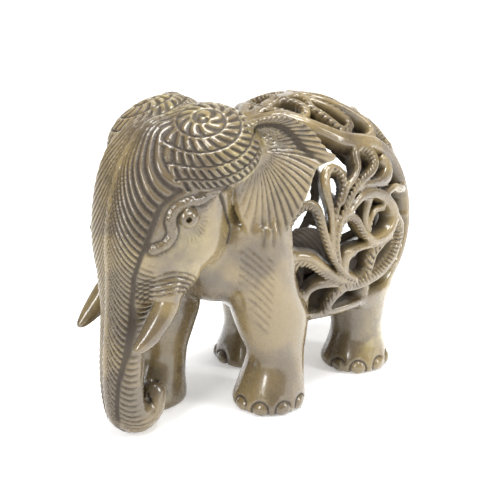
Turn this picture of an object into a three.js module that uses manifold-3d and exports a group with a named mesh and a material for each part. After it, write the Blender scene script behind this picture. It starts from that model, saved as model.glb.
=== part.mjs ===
// An elephant carved from one block of soapstone, in millimetres, +Z up, walking towards -X.
// Its barrel is a hollow shell pierced with leafy vines, and a calf stands inside it, cut from the
// same block. The whole work is one solid, so every form below is joined into one mesh.

import * as THREE from 'three';
import { LoftGeometry } from 'three/addons/geometries/LoftGeometry.js';
import { mergeVertices } from 'three/addons/utils/BufferGeometryUtils.js';
import Module from 'manifold-3d';

const wasm = await Module();
wasm.setup();

// ---- Driving dimensions ----

const DEG = Math.PI / 180;
const CENTRE_X = 6.25;       // middle of the whole work, fore and aft, in the sizes below
const BARREL = { x: 25.8, z: 53.8, long: 45.4, deep: 39.3, half: 28, tilt: -0.74, fullness: 2.5 };
const WALL = 5.5;            // thickness of the pierced shell
const BELLY_Z = 25.5;        // underside of the barrel
const FLOOR_Z = 29.0;        // floor inside the barrel
const CHEST_X = -4.0;        // the barrel is solid in front of this
const TRACK = 14.4;          // feet from the midplane
const FORE_STRIDE = 25.5;    // how far the right feet are ahead of the left ones
const HIND_STRIDE = 24.0;
const FORE_FOOT_X = -4.0;
const HIND_FOOT_X = 39.0;
const FORE_LEAN = 16;        // how far a leg set forward leans back by the shoulder
const HIND_LEAN = 4;
const ANKLE_Z = 8;
const SHOULDER_Z = 48;
const LEFT = -1;
const RIGHT = 1;

// ---- Small helpers ----

// Turns a closed geometry into a solid, with its faces outward whichever way it was wound.
function toSolid(geometry) {
  const bare = new THREE.BufferGeometry();
  bare.setAttribute('position', geometry.attributes.position);
  bare.setIndex(geometry.index);
  const merged = mergeVertices(bare, 1e-4);
  const vertProperties = new Float32Array(merged.attributes.position.array);
  const triVerts = new Uint32Array(merged.index.array);
  if (signedVolume(vertProperties, triVerts) < 0) {
    triVerts.reverse();
  }
  return new wasm.Manifold(new wasm.Mesh({ numProp: 3, vertProperties, triVerts }));
}

function signedVolume(points, corners) {
  const a = new THREE.Vector3();
  const b = new THREE.Vector3();
  const c = new THREE.Vector3();
  let volume = 0;
  for (let i = 0; i < corners.length; i += 3) {
    a.fromArray(points, corners[i] * 3);
    b.fromArray(points, corners[i + 1] * 3);
    c.fromArray(points, corners[i + 2] * 3);
    volume += a.dot(b.cross(c)) / 6;
  }
  return volume;
}

function join(solids) {
  return solids.reduce((whole, next) => whole.add(next));
}

function box(x0, x1, y0, y1, z0, z1) {
  const geometry = new THREE.BoxGeometry(x1 - x0, y1 - y0, z1 - z0);
  geometry.translate((x0 + x1) / 2, (y0 + y1) / 2, (z0 + z1) / 2);
  return toSolid(geometry);
}

// Skins a row of sections, each turned, where need be, to run counterclockwise round the way ahead.
function loft(sections) {
  const ahead = middle(sections[1]).sub(middle(sections[0]));
  const facing = new THREE.Vector3();
  const spoke = new THREE.Vector3();
  const nextSpoke = new THREE.Vector3();
  const first = sections[0];
  for (let i = 0; i < first.length; i += 1) {
    spoke.subVectors(first[i], first[0]);
    nextSpoke.subVectors(first[(i + 1) % first.length], first[0]);
    facing.add(spoke.cross(nextSpoke));
  }
  const ordered = facing.dot(ahead) < 0 ? sections.map((section) => section.reverse()) : sections;
  return toSolid(new LoftGeometry(ordered, { capStart: true, capEnd: true }));
}

function middle(points) {
  const sum = new THREE.Vector3();
  points.forEach((point) => sum.add(point));
  return sum.divideScalar(points.length);
}

// A ring of points round (x, y, z). across and up are the two half-widths along the given axes, and
// fullness 2 is an ellipse, more is squarer.
function ring(centre, axisA, halfA, axisB, halfB, sides, fullness = 2) {
  const points = [];
  for (let i = 0; i < sides; i += 1) {
    const angle = (i / sides) * 2 * Math.PI;
    const c = Math.cos(angle);
    const s = Math.sin(angle);
    const reach = (Math.abs(c) ** fullness + Math.abs(s) ** fullness) ** (-1 / fullness);
    const point = centre.clone();
    point.addScaledVector(axisA, halfA * c * reach);
    point.addScaledVector(axisB, halfB * s * reach);
    points.push(point);
  }
  return points;
}

const AXIS_X = new THREE.Vector3(1, 0, 0);
const AXIS_Y = new THREE.Vector3(0, 1, 0);
const AXIS_Z = new THREE.Vector3(0, 0, 1);

// A limb through level rings, each given as [x, y, z, half length, half width].
function levelLimb(rings, sides, fullness = 2.2) {
  const sections = [];
  for (const [x, y, z, halfLong, halfWide] of rings) {
    const centre = new THREE.Vector3(x, y, z);
    sections.push(ring(centre, AXIS_X, halfLong, AXIS_Y, halfWide, sides, fullness));
  }
  return loft(sections);
}

// A tapering round rod along a smooth curve through [x, y, z, radius] stations.
function rod(stations, sides, steps, flatness = 1) {
  const curve = new THREE.CatmullRomCurve3(
    stations.map(([x, y, z]) => new THREE.Vector3(x, y, z)),
  );
  const girth = new THREE.CatmullRomCurve3(
    stations.map(([, , , radius], i) => new THREE.Vector3(i, radius, 0)),
  );
  const frames = curve.computeFrenetFrames(steps, false);
  const sections = [];
  for (let i = 0; i <= steps; i += 1) {
    const t = i / steps;
    const radius = girth.getPoint(t).y;
    const centre = curve.getPoint(t);
    const normal = frames.normals[i];
    const binormal = frames.binormals[i];
    sections.push(ring(centre, normal, radius, binormal, radius * flatness, sides));
  }
  return loft(sections);
}

function egg(x, y, z, halfX, halfY, halfZ, around = 12, down = 8) {
  const geometry = new THREE.SphereGeometry(1, around, down);
  geometry.scale(halfX, halfY, halfZ);
  geometry.translate(x, y, z);
  return toSolid(geometry);
}

// ---- The barrel ----

// A point of the barrel's skin. u and v are degrees fore-and-aft and up-and-down from the middle of
// the flank, 90 of them reaching the midplane, and inset is how far in from the skin it lies.
function barrelPoint(u, v, inset, side) {
  const reach = Math.hypot(u, v) * DEG;
  const out = Math.sin(reach);
  const lateral = Math.cos(reach);
  const full = BARREL.fullness;
  const size = (Math.abs(out) ** full + Math.abs(lateral) ** full) ** (-1 / full);
  const bearing = Math.atan2(v, u) - BARREL.tilt;
  const along = (BARREL.long - inset) * size * out * Math.cos(bearing);
  const up = (BARREL.deep - inset) * size * out * Math.sin(bearing);
  const x = BARREL.x + along * Math.cos(BARREL.tilt) - up * Math.sin(BARREL.tilt);
  const z = BARREL.z + along * Math.sin(BARREL.tilt) + up * Math.cos(BARREL.tilt);
  const y = side * (BARREL.half - inset) * size * lateral;
  return new THREE.Vector3(x, y, z);
}

// The barrel as a whole egg, its underside cut off level at lowZ.
function barrelEgg(inset, lowZ, rings, sides) {
  const sections = [];
  for (let i = 0; i <= rings; i += 1) {
    const polar = 4 + (172 * i) / rings;
    const side = polar < 90 ? LEFT : RIGHT;
    const reach = polar < 90 ? polar : 180 - polar;
    const points = [];
    for (let j = 0; j < sides; j += 1) {
      const bearing = (j / sides) * 2 * Math.PI;
      const u = reach * Math.cos(bearing);
      const v = reach * Math.sin(bearing);
      const point = barrelPoint(u, v, inset, side);
      point.z = Math.max(point.z, lowZ);
      points.push(point);
    }
    sections.push(points);
  }
  return loft(sections);
}

const VINE_PITCH = 9.0;      // degrees between the sections of a vine
const VINE_STEP = 0.6;       // every other vine lies this much lower than its neighbours

// A leafy vine: a band that follows the flank through [u, v, width] stations, as deep as the shell.
function vine(stations, side, sunk) {
  const curve = new THREE.CatmullRomCurve3(
    stations.map(([u, v, width]) => new THREE.Vector3(u, v, width)),
    false,
    'centripetal',
  );
  const steps = Math.max(3, Math.round(curve.getLength() / VINE_PITCH));
  const sections = [];
  for (let i = 0; i <= steps; i += 1) {
    const t = i / steps;
    const here = curve.getPointAt(t);
    const before = curve.getPointAt(Math.max(0, t - 0.01));
    const after = curve.getPointAt(Math.min(1, t + 0.01));
    const skin = barrelPoint(here.x, here.y, sunk, side);
    const root = barrelPoint(here.x, here.y, WALL - sunk, side);
    const ahead = barrelPoint(after.x, after.y, 0, side).sub(barrelPoint(before.x, before.y, 0, side));
    const outward = skin.clone().sub(root).normalize();
    const across = outward.clone().cross(ahead).normalize().multiplyScalar(here.z / 2);
    sections.push([
      root.clone().sub(across),
      skin.clone().sub(across),
      skin.clone().add(across),
      root.clone().add(across),
    ]);
  }
  return loft(sections);
}

// The vines of one flank, as [u, v, width in millimetres] stations. The other flank mirrors them.
const VINES = {
  topStem: [
    [-42, 73, 3], [-30, 68, 3.6], [-23, 61, 4], [-14, 52, 4], [-4, 45, 4.2], [8, 41, 4.6],
    [18, 40, 4.2], [28, 35, 3.6], [37, 27, 3.4], [43, 16, 3.4], [45, 4, 3.4], [43, -8, 3.4],
    [36, -20, 3.4], [25, -30, 3],
  ],
  beadedLeaf: [
    [-24, 90, 3], [-17, 86, 3], [-13, 78, 3], [-12, 69, 3], [-15, 63, 3], [-20, 62, 2.8],
    [-24, 67, 2.8], [-31, 78, 2.8], [-36, 88, 2.8],
  ],
  backLoop: [
    [-5, 76, 2.6], [-8, 67, 2.6], [-5, 58, 2.6], [-3, 51, 2.8], [3, 48, 3], [8, 50, 3],
    [7, 57, 3], [4, 66, 3], [0, 75, 2.8], [-2, 82, 2.6], [-2, 90, 2.6],
  ],
  outerLoop: [
    [14, 42, 3.4], [22, 43, 3.6], [27, 49, 3.6], [24, 57, 3.4], [17, 65, 3.2], [10, 73, 3],
    [5, 81, 3], [3, 90, 3],
  ],
  earArch: [
    [-43, 7, 2.6], [-37, 13, 2.8], [-31, 17, 3.2], [-26, 14, 3.2], [-24, 6, 3], [-22, -2, 2.8],
    [-17, -12, 2.6], [-11, -19, 2.6], [-4, -23, 2.4],
  ],
  frontLeaf: [
    [-43, -7, 4.6], [-35, -8, 4.6], [-29, -10, 4.4], [-24, -14, 4], [-18, -19, 3.4], [-8, -23, 2.8],
  ],
  hookLeaf: [
    [-8, -24, 2.4], [-19, -22, 2.8], [-27, -23, 2.8], [-31, -27, 2.8], [-32, -34, 3],
  ],
  leafOneFront: [
    [-13, 32, 2.6], [-18, 30, 3.6], [-20, 25, 3.6], [-19, 16, 2.6], [-19, 4, 2.4], [-18, -6, 2.4],
    [-15, -13, 2.2], [-9, -20, 2.2],
  ],
  leafOneBack: [
    [-14, 32, 2.6], [-10, 30, 2.8], [-9, 25, 2.8], [-11, 19, 2.6], [-15, 13, 2.2], [-17, 4, 2],
    [-17, -7, 2],
  ],
  leafTwoFront: [
    [8, 39, 2.8], [3, 37, 3.2], [1, 33, 3], [0, 28, 2.6], [-5, 23, 2.4], [-11, 18, 2.2],
  ],
  leafTwoBack: [
    [7, 39, 2.8], [12, 37, 3], [14, 32, 3.2], [9, 27, 3.2], [0, 23, 3], [-9, 15, 2.4],
    [-14, 8, 2.2], [-17, -2, 2], [-15, -11, 2],
  ],
  rumpLeaf: [
    [-2, 20, 2.2], [6, 21, 2.4], [14, 21, 3], [21, 22, 4.6], [25, 26, 5], [23, 31, 3.4],
  ],
  ring: [
    [-13, 9, 2.2], [-5, 13, 3], [2, 17, 3.2], [10, 17, 3.2], [19, 13, 3.2], [25, 6, 3.4],
    [24, -1, 3.6], [17, -5, 3.4], [9, -5, 2.8], [3, -2, 2.4],
  ],
  ringLeaf: [[9, 17, 4], [6, 11, 4], [4, 5, 3], [5, -4, 2.4]],
  ringCurl: [[5, 1, 2.2], [8, 6, 2.2], [12, 9, 2.4], [17, 9, 2.8]],
  smallArch: [
    [-16, -9, 2.2], [-16, -2, 2.4], [-13, 6, 2.8], [-8, 9, 3], [-3, 6, 3], [1, -1, 2.8],
    [8, -6, 2.6], [14, -8, 2.8], [21, -6, 3.2],
  ],
  dropLeaf: [[14, -8, 2.2], [3, -8, 2.4], [-5, -9, 3.6], [-10, -12, 4.4], [-10, -17, 2.4]],
  toothedLeaf: [[20, -6, 3], [14, -9, 3.6], [9, -13, 4.2], [7, -18, 3.6], [4, -24, 2.8]],
  rimBand: [
    [-14, -24, 3], [-5, -25, 3.6], [6, -25, 3.8], [15, -23, 3.8], [23, -19, 3.8], [29, -12, 4.2],
    [30, -4, 4.2], [26, 3, 3.4],
  ],
  hipStem: [[20, 15, 2.2], [28, 16, 2.8], [34, 14, 3], [40, 15, 3]],
  lowLeaf: [[-9, -25, 3], [-13, -28, 3.6], [-17, -32, 3.2], [-19, -38, 3.4]],
  lowStrut: [[6, -26, 2.6], [6, -31, 2.6], [4, -38, 3]],
};

// The hidden end of the flank, past the hip, where the vines are plainer.
const HIP_VINES = {
  farScroll: [
    [44, 0, 3.2], [50, 9, 3.2], [59, 11, 3.2], [66, 5, 3.2], [65, -5, 3.2], [58, -9, 3],
    [53, -4, 2.8],
  ],
  farTop: [[32, 32, 3], [41, 37, 3.2], [50, 36, 3.2], [59, 29, 3.2], [70, 22, 3.2], [84, 20, 3]],
  farCrown: [[25, 54, 3], [34, 53, 3.2], [42, 47, 3.2], [46, 40, 3], [49, 35, 3]],
  farBack: [[22, 59, 3], [34, 65, 3.2], [47, 65, 3.2], [58, 60, 3]],
  farLow: [[38, -17, 3.2], [48, -21, 3.2], [60, -18, 3.2], [70, -10, 3.2], [84, -8, 3]],
  farRoot: [[30, -24, 3.2], [42, -31, 3.2], [56, -33, 3.2], [70, -30, 3]],
};

function barrel() {
  const whole = barrelEgg(0, BELLY_Z, 14, 26);
  const inside = barrelEgg(WALL, BELLY_Z, 10, 20);
  const chest = whole.intersect(box(-60, CHEST_X, -40, 40, 0, 120));
  const floor = whole.intersect(box(CHEST_X - 1, 90, -40, 40, 0, FLOOR_Z));
  const spine = whole.subtract(inside).intersect(box(CHEST_X - 1, 90, -2.2, 2.2, FLOOR_Z - 1, 120));
  const vines = [];
  for (const side of [LEFT, RIGHT]) {
    [...Object.values(VINES), ...Object.values(HIP_VINES)].forEach((stations, i) => {
      vines.push(vine(stations, side, i % 2 === 0 ? 0 : VINE_STEP));
    });
  }
  return join([chest, floor, spine, ...vines]);
}

// ---- The calf inside ----

function calf() {
  const parts = [
    egg(27, 0, 40, 13, 7.5, 8, 10, 6),
    egg(13.5, 0, 43, 6.5, 5.5, 6.5, 8, 6),
    rod([[9, 0, 44, 3], [5.5, 0, 39, 2.4], [5, 0, 34, 2], [6.5, 0, 28.5, 2]], 6, 5),
  ];
  for (const [x, y] of [[19, -4.2], [19, 4.2], [35, -4.2], [35, 4.2]]) {
    parts.push(levelLimb([[x, y, FLOOR_Z - 1, 3, 2.8], [x, y, 40, 2.8, 2.6]], 6));
  }
  return join(parts);
}

// ---- Legs ----

// [how far back of the foot's middle, height, half length, half width] up a fore leg.
const FORE_LEG = [
  [0, 0, 11, 11], [0, 3, 11.4, 11.4], [1.2, 9, 10.2, 10.2], [2.8, 17, 9, 9], [1.8, 24, 10.8, 10.4],
  [0.4, 31, 12.2, 11], [-3, 40, 11.4, 10.8], [-5, 50, 10.4, 10.6], [-6, 64, 9.6, 9.4],
];
const HIND_LEG = [
  [0, 0, 11, 11], [0, 3, 11.3, 11.3], [0.3, 8.5, 9.6, 9.4], [0.6, 14, 8.6, 8.6],
  [0.4, 20, 9.4, 9.2], [0, 28, 11, 10],
];

// lean carries the leg back above the ankle, from a foot that has stepped forward.
function leg(profile, footX, side, lean) {
  const rings = profile.map(([back, height, halfLong, halfWide]) => [
    footX + back + lean * (Math.max(0, height - ANKLE_Z) / (SHOULDER_Z - ANKLE_Z)) ** 1.8,
    side * TRACK,
    height,
    halfLong,
    halfWide,
  ]);
  return levelLimb(rings, 13);
}

function legs() {
  const parts = [];
  for (const side of [LEFT, RIGHT]) {
    const ahead = side === RIGHT ? 1 : 0;
    parts.push(leg(FORE_LEG, FORE_FOOT_X - FORE_STRIDE * ahead, side, FORE_LEAN * ahead));
    parts.push(leg(HIND_LEG, HIND_FOOT_X - HIND_STRIDE * ahead, side, HIND_LEAN * ahead));
  }
  return join(parts);
}

// ---- Head ----

// Level rings of the head, each [height, front x, back x, half width].
const HEAD_RINGS = [
  [45, -55, -38, 9.5], [50, -55.4, -32, 12.5], [56, -55.8, -24, 15.5], [63, -56, -16, 17.5],
  [71, -55, -12, 18.6], [79, -53, -10, 19], [86, -50, -9, 18.4], [91, -46, -10, 16.5],
  [95, -42, -13, 13.5], [98, -37, -18, 9],
];

function head() {
  const rings = HEAD_RINGS.map(([z, front, back, halfWide]) => [
    (front + back) / 2, 0, z, (back - front) / 2, halfWide,
  ]);
  return levelLimb(rings, 18, 2.4);
}

const TRUNK = [
  [-45, 0, 52, 9], [-48, 0, 44, 8], [-50.4, 0, 36, 7.2], [-51.8, 0, 27, 6.7], [-52.5, 0, 17, 6.4],
  [-51.5, 0, 10, 6.2], [-47.5, 0, 6.4, 5.9], [-42.5, 0, 7.2, 5.4], [-39.2, 0, 12, 4.5],
];
const TUSK = [
  [-40, 11, 51, 3], [-45, 12.8, 45, 3.6], [-51, 13.4, 39, 3], [-55.5, 13.2, 35.8, 1.7],
  [-57.5, 13, 35, 0.5],
];

function mirrored(stations, side) {
  return stations.map(([x, y, ...rest]) => [x, side * y, ...rest]);
}

// A round boss on each side of the crown, with raised rings on it.
const BOSS = { x: -29, y: 12.5, z: 86, half: 15, rise: 11.5, out: [-0.3, 0.42, 0.86], rings: 3 };

function boss(side) {
  const outward = new THREE.Vector3(BOSS.out[0], side * BOSS.out[1], BOSS.out[2]).normalize();
  const turn = new THREE.Quaternion().setFromUnitVectors(AXIS_Y, outward);
  const profile = [new THREE.Vector2(0, -4), new THREE.Vector2(BOSS.half * 0.9, -3)];
  for (let i = 0; i <= BOSS.rings * 2; i += 1) {
    const share = 1 - i / (BOSS.rings * 2 + 1);
    const lift = BOSS.rise * Math.sqrt(1 - share ** 2) + (i % 2 === 0 ? 0.9 : 0);
    profile.push(new THREE.Vector2(BOSS.half * share, lift));
  }
  profile.push(new THREE.Vector2(0, BOSS.rise + 0.6));
  const dome = new THREE.LatheGeometry(profile, 16);
  dome.applyQuaternion(turn);
  dome.translate(BOSS.x, side * BOSS.y, BOSS.z);
  return toSolid(dome);
}

// ---- Ears ----

const EAR = { x: -17, y: 21, z: 87, flare: 0.35, thick: 3, flute: 0.7, sections: 20 };
// Reach of the ear's edge from its root, as [degrees above level, reach].
const EAR_EDGE = [
  [118, 8], [90, 9.5], [62, 11.5], [38, 14.5], [14, 18], [-3, 21.5], [-11, 26], [-22, 21],
  [-48, 23.5], [-70, 27.5], [-86, 30], [-97, 22], [-118, 11],
];

function ear(side) {
  const edge = new THREE.CatmullRomCurve3(
    EAR_EDGE.map(([angle, reach]) => new THREE.Vector3(angle, reach, 0)),
  );
  const sections = [];
  for (let i = 0; i <= EAR.sections; i += 1) {
    const { x: angle, y: reach } = edge.getPoint(i / EAR.sections);
    const fold = i % 2 === 0 ? EAR.flute : 0;
    const outer = [];
    const inner = [];
    for (const share of [0, 0.35, 0.7, 1]) {
      const x = EAR.x + reach * share * Math.cos(angle * DEG);
      const z = EAR.z + reach * share * Math.sin(angle * DEG);
      const y = EAR.y + EAR.flare * (x - EAR.x);
      outer.push(new THREE.Vector3(x, side * (y + fold * share), z));
      inner.unshift(new THREE.Vector3(x, side * (y - EAR.thick), z));
    }
    sections.push([...outer, ...inner]);
  }
  return loft(sections);
}

// ---- The whole work ----

const TAIL = [
  [63, 0, 74, 2.2], [68, 0, 64, 2.4], [69.5, 0, 50, 2.2], [66, 0, 36, 2.6], [62, 0, 30, 1],
];

function elephant() {
  const parts = [barrel(), calf(), legs(), head(), rod(TRUNK, 12, 12), rod(TAIL, 6, 8)];
  parts.push(egg(-14, 0, 55, 17, 18, 20, 18, 10));
  for (const side of [LEFT, RIGHT]) {
    parts.push(rod(mirrored(TUSK, side), 7, 6));
    parts.push(boss(side));
    parts.push(ear(side));
    parts.push(egg(-39.5, side * 17.2, 71.7, 3, 2.6, 2.6, 8, 6));
  }
  return join(parts).intersect(box(-90, 90, -60, 60, 0, 130));
}

function toMesh(solid, name, material) {
  const { vertProperties, triVerts } = solid.getMesh();
  const geometry = new THREE.BufferGeometry();
  geometry.setAttribute('position', new THREE.BufferAttribute(vertProperties, 3));
  geometry.setIndex(new THREE.BufferAttribute(triVerts, 1));
  geometry.translate(-CENTRE_X, 0, 0);
  geometry.computeVertexNormals();
  const mesh = new THREE.Mesh(geometry, material);
  mesh.name = name;
  return mesh;
}

const soapstone = new THREE.MeshStandardMaterial({
  color: new THREE.Color(0x8f8462),
  roughness: 0.28,
  metalness: 0,
});

const group = new THREE.Group();
group.add(toMesh(elephant(), 'elephant', soapstone));
export default group;
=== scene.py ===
# %% [markdown]
# # An elephant carved in soapstone, with a calf inside it
#
# The carver starts with one block, shapes the elephant, hollows its barrel through the gaps between
# leafy vines, and leaves a calf standing inside. Nothing is joined on, so here too everything is
# one body. In Blender this could be sculpted by hand or built from boolean cuts. A grid of signed
# distances was chosen instead: each form is a small formula, forms melt into each other as they do
# in polished stone, and a hollow is cut as easily as a hill is raised. The grid is skinned once,
# and the fine carving is then pushed into that skin.

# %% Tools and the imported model
import math

import bpy
import numpy as np
import openvdb
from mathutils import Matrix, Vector


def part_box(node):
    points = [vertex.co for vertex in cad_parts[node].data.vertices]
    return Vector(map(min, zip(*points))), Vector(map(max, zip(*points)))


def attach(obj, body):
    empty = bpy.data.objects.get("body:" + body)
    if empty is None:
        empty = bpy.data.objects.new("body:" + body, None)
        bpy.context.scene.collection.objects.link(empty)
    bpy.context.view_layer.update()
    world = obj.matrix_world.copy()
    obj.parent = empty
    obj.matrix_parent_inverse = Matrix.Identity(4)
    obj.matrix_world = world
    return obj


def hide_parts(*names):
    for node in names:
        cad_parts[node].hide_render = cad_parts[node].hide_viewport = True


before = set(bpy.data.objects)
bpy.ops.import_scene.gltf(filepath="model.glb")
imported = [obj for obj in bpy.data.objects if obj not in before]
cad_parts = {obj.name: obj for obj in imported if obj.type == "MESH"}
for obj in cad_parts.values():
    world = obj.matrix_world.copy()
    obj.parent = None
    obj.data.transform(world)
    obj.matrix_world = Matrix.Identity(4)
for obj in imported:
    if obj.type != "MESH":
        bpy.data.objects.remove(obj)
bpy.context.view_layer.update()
block_low, block_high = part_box("elephant")
print("the block measures", [round(1000 * side, 1) for side in block_high - block_low], "mm")

# %% [markdown]
# ## The carver's rule
#
# Stone this small is thought of in millimetres, so all carving is worked out in them. The rule's
# zero lies near the left fore foot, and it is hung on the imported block: x is measured from the
# front of the trunk, y from the middle, z from the shelf. Only the last step turns the result into
# metres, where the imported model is.

# %% The carver's rule
MM = 0.001
TRUNK_FRONT_X = -58.9
FORWARD = block_low.x / MM - TRUNK_FRONT_X
LEFT, RIGHT = -1, 1
GRAIN = 0.42
FAR = 4.0
print("the rule's zero is", round(FORWARD, 2), "mm from the block's middle")

# %% [markdown]
# ## The block as a grid of distances
#
# Every point of the grid holds how far it is outside the stone, in millimetres, and less than zero
# is inside. Adding a form keeps the smaller of two distances, cutting keeps the larger, and both
# are blended over a short reach so that no edge is knife sharp. Each form only touches the window
# of the grid that it lies in, which keeps the work short.


# %% Blends and the block
def melt(a, b, reach):
    """The smaller of two distances, with the crease between them filled over reach."""
    if reach <= 0:
        return np.minimum(a, b)
    near = np.maximum(reach - np.abs(a - b), 0) / reach
    return np.minimum(a, b) - near * near * reach / 4


def meet(a, b, reach):
    """The larger of two distances, with the edge between them rounded over reach."""
    return -melt(-a, -b, reach)


class Block:
    """A grid of distances that forms are added to and cut from."""

    def __init__(self, low, high, grain):
        self.grain = grain
        self.low = np.array(low, np.float32)
        counts = [int((high[i] - low[i]) / grain) + 1 for i in range(3)]
        self.lines = [self.low[i] + grain * np.arange(counts[i], dtype=np.float32) for i in range(3)]
        self.field = np.full(counts, FAR, np.float32)

    def window(self, low, high):
        """The part of the grid between two corners, and its coordinates along each axis."""
        cuts, coordinates = [], []
        for axis in range(3):
            first = max(0, int((low[axis] - self.low[axis]) / self.grain))
            last = min(len(self.lines[axis]), int((high[axis] - self.low[axis]) / self.grain) + 2)
            cuts.append(slice(first, last))
            shape = [1, 1, 1]
            shape[axis] = -1
            coordinates.append(self.lines[axis][first:last].reshape(shape))
        return tuple(cuts), coordinates

    def near(self, form, reach):
        """The window that a form can change, and the form's distances in it."""
        low, high, distance = form
        margin = reach + FAR / 2
        cuts, (x, y, z) = self.window([v - margin for v in low], [v + margin for v in high])
        return cuts, distance(x, y, z).astype(np.float32)

    def add(self, form, reach=0.0):
        cuts, distances = self.near(form, reach)
        self.field[cuts] = melt(self.field[cuts], distances, reach)

    def cut(self, form, reach=0.0):
        cuts, distances = self.near(form, reach)
        self.field[cuts] = meet(self.field[cuts], -distances, reach)


block = Block((-62, -33, -1.2), (74, 33, 102.5), GRAIN)
print("the block has", block.field.size // 1000, "thousand points")

# %% [markdown]
# ## Forms that the carver repeats
#
# A limb is a stack of level ovals, a rod is a round bar along a curve, an egg is an egg, and a
# cushion is a flattened ball that may be tipped. Each maker returns the two corners of the window
# that its form lies in, and a function that gives the distance to it.


# %% Smooth curves
STEPS = 8


def smooth_curve(stations, count):
    """Points along a Catmull-Rom curve through stations, evenly by station."""
    stations = np.array(stations, float)
    ends = np.vstack([2 * stations[0] - stations[1], stations, 2 * stations[-1] - stations[-2]])
    t = np.linspace(0, len(stations) - 1, count)
    i = np.minimum(t.astype(int), len(stations) - 2)
    f = (t - i)[:, None]
    a, b, c, d = ends[i], ends[i + 1], ends[i + 2], ends[i + 3]
    bend = 3 * (b - c) + d - a
    return b + 0.5 * f * (c - a + f * (2 * a - 5 * b + 4 * c - d + f * bend))


# %% Limb, rod, egg and cushion
OVAL_STEPS = 12
CORE = 0.05


def limb(ovals, fullness=2.2, soft=2.0):
    """Level ovals given as [x, y, z, half length, half width], lowest first."""
    table = smooth_curve(ovals, OVAL_STEPS * len(ovals))
    low = (table[:, :3] - table[:, [3, 4, 4]] * [1, 1, 0]).min(0)
    high = (table[:, :3] + table[:, [3, 4, 4]] * [1, 1, 0]).max(0)

    def distance(x, y, z):
        at = [np.interp(z, table[:, 2], table[:, k]) for k in (0, 1, 3, 4)]
        dx, dy = x - at[0], y - at[1]
        level = (np.abs(dx / at[2]) ** fullness + np.abs(dy / at[3]) ** fullness) ** (1 / fullness)
        out = np.hypot(dx, dy) * (1 - 1 / np.maximum(level, CORE))
        return meet(out, np.maximum(z - high[2], low[2] - z), soft)

    return low, high, distance


def rod(stations, count=16):
    """A round bar through [x, y, z, radius] stations."""
    knots = smooth_curve(stations, count)
    low = (knots[:, :3] - knots[:, 3:]).min(0)
    high = (knots[:, :3] + knots[:, 3:]).max(0)

    def distance(x, y, z):
        nearest = FAR * 9
        for a, b in zip(knots[:-1], knots[1:]):
            step = b - a
            length = step[:3] @ step[:3]
            along = ((x - a[0]) * step[0] + (y - a[1]) * step[1] + (z - a[2]) * step[2]) / length
            along = np.clip(along, 0, 1)
            off = (x - a[0] - along * step[0]) ** 2 + (y - a[1] - along * step[1]) ** 2
            off = np.sqrt(off + (z - a[2] - along * step[2]) ** 2)
            nearest = np.minimum(nearest, off - a[3] - along * step[3])
        return nearest

    return low, high, distance


def egg(centre, halves):
    """An egg round a centre, with its half length, half width and half height."""
    centre, halves = np.array(centre, float), np.array(halves, float)

    def distance(x, y, z):
        dx, dy, dz = x - centre[0], y - centre[1], z - centre[2]
        level = np.sqrt((dx / halves[0]) ** 2 + (dy / halves[1]) ** 2 + (dz / halves[2]) ** 2)
        return np.sqrt(dx * dx + dy * dy + dz * dz) * (1 - 1 / np.maximum(level, CORE))

    return centre - halves, centre + halves, distance


def cushion(centre, axis, half, rise):
    """A round cushion: half across, and rise thick either way along its axis."""
    centre, axis = np.array(centre, float), np.array(axis, float)

    def distance(x, y, z):
        dx, dy, dz = x - centre[0], y - centre[1], z - centre[2]
        along = dx * axis[0] + dy * axis[1] + dz * axis[2]
        square = dx * dx + dy * dy + dz * dz
        level = np.sqrt(np.maximum(square - along * along, 0) / half**2 + (along / rise) ** 2)
        return np.sqrt(square) * (1 - 1 / np.maximum(level, CORE))

    return centre - half, centre + half, distance


def mirrored(stations, side):
    """Stations drawn for the right, on the side that is asked for."""
    return [[x, side * y, *rest] for x, y, *rest in stations]


print("limbs, rods, eggs and cushions can be made")

# %% [markdown]
# ## The barrel's skin
#
# The barrel is a fat egg, tipped up at the rump. The vines are drawn on its flanks like lines on a
# globe: u runs aft and v runs up, in degrees from the middle of the flank, and 90 degrees in any
# direction reaches the middle line of the back, belly or rump. The same map read backwards tells
# where on the flank a point of the grid lies, so that a flat drawing can be cut through the shell.

# %% The barrel's map
BARREL_X, BARREL_Z = 25.8, 53.8
BARREL_LONG, BARREL_DEEP, BARREL_HALF = 45.4, 39.3, 28.0
BARREL_TIP = -0.74
BARREL_FULL = 2.5
BELLY_Z, FLOOR_Z = 25.5, 29.0
CHEST_X = -4.0
WALL = 5.5


def flank_point(u, v):
    """The point of the right flank's skin at u, v."""
    reach = np.radians(np.hypot(u, v))
    out, lateral = np.sin(reach), np.cos(reach)
    size = (np.abs(out) ** BARREL_FULL + np.abs(lateral) ** BARREL_FULL) ** (-1 / BARREL_FULL)
    bearing = np.arctan2(v, u) - BARREL_TIP
    along = BARREL_LONG * size * out * np.cos(bearing)
    up = BARREL_DEEP * size * out * np.sin(bearing)
    x = BARREL_X + along * math.cos(BARREL_TIP) - up * math.sin(BARREL_TIP)
    z = BARREL_Z + along * math.sin(BARREL_TIP) + up * math.cos(BARREL_TIP)
    return np.stack([x, BARREL_HALF * size * lateral, z], -1)


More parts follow.
